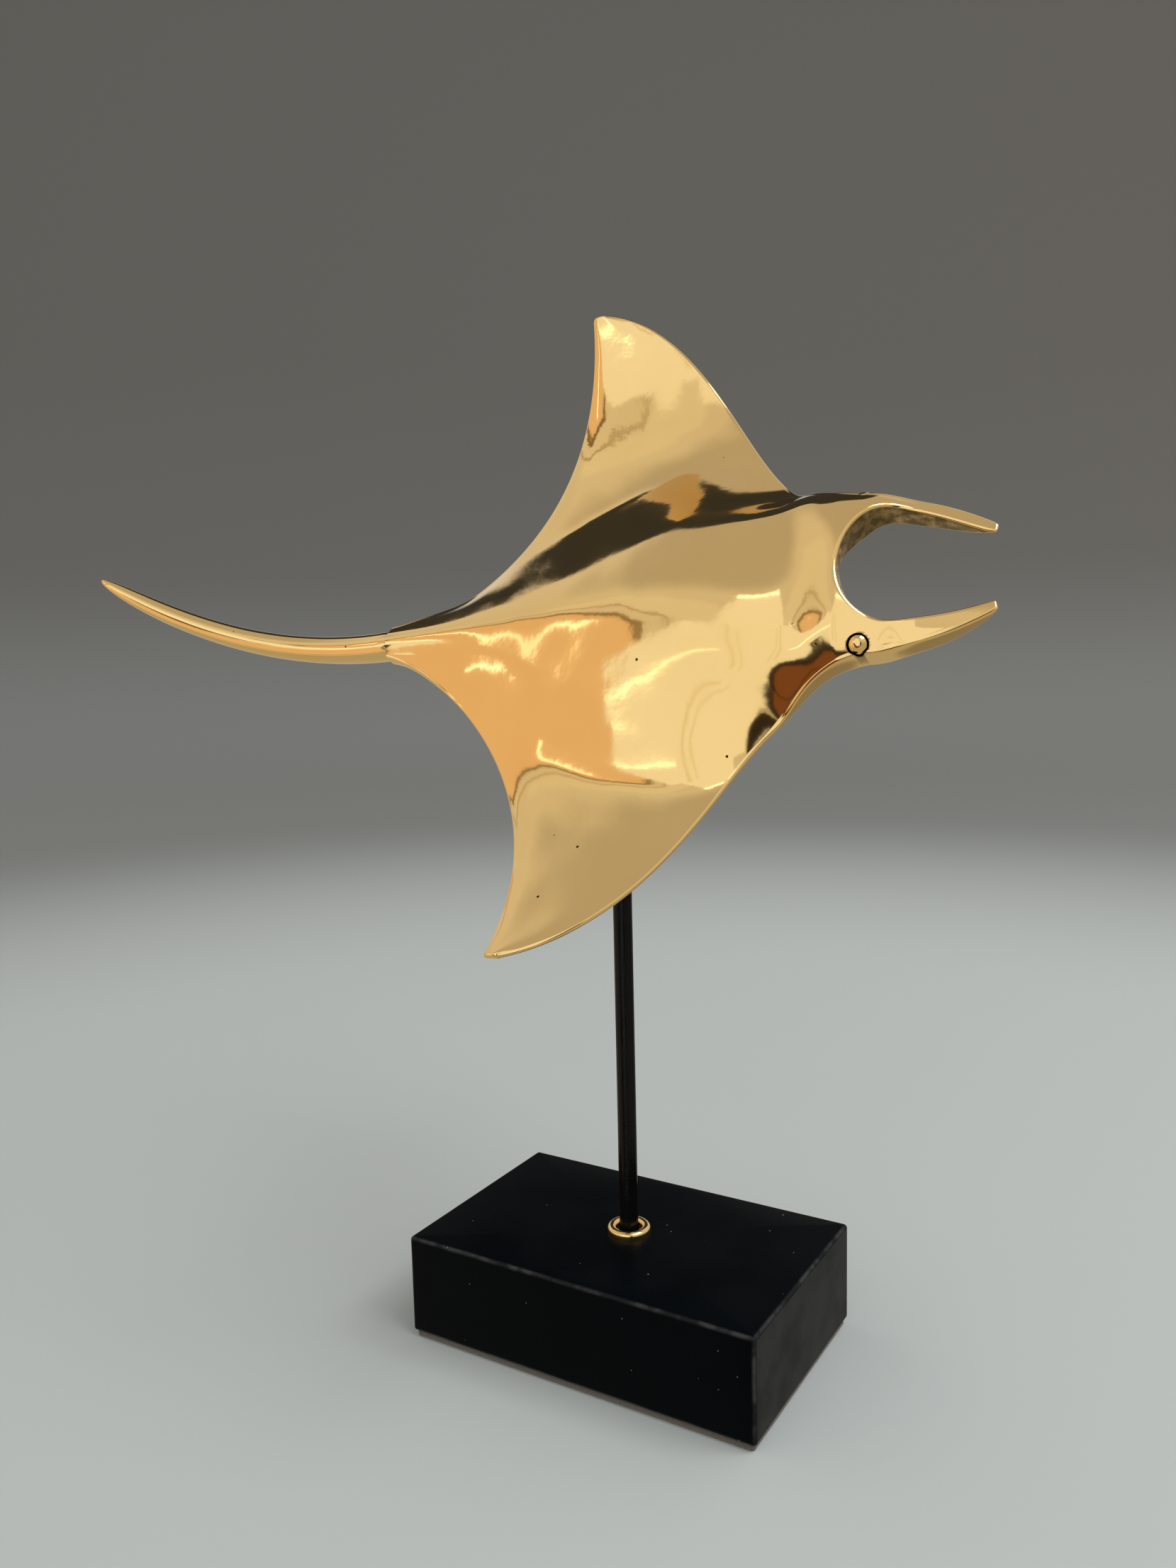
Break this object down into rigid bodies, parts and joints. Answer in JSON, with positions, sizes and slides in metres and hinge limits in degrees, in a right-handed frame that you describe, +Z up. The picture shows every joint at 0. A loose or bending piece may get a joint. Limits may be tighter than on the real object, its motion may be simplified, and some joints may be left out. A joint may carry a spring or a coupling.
{
  "type": "manta ray sculpture",
  "caption": "Polished brass manta ray with a whip tail and curved head horns, banking over a black block on an upright rod; the figure swivels on the rod.",
  "frame": {"origin": "centre of the base's underside, on the rod's axis", "axes": "+Z up along the rod, +X along the base's long side, the way the ray's head points, +Y across the base"},
  "size_m": [0.3158, 0.1129, 0.331],
  "materials": {
    "ray_brass": "mirror polished, hand finished, with a faint waviness and small pits",
    "tail_brass": "mirror polished",
    "eye_brass": "polished, dark tarnish in the pocket round it",
    "bush_brass": "as turned, dull",
    "rod_black": "gloss black, slightly mottled",
    "collar_brass": "polished",
    "block_black": "sprayed satin black",
    "fixing_steel": "zinc plated",
    "pad_felt": "pressed felt, brownish grey"
  },
  "bodies": {
    "stand": {"support_rod": "rod_black", "rod_collar": "collar_brass", "base_block": "block_black", "threaded_insert": "fixing_steel", "lock_washer": "fixing_steel", "lock_nut": "fixing_steel", "felt_pad": "pad_felt"},
    "ray": {"ray_casting": "ray_brass", "tail": "tail_brass", "left_eye": "eye_brass", "right_eye": "eye_brass", "rod_bush": "bush_brass"}
  },
  "joints": [
    {"name": "ray_swivel", "type": "hinge", "parent": "stand", "child": "ray", "pos_m": [0, 0, 0.205], "axis": [0, 0, 1], "continuous": true}
  ]
}
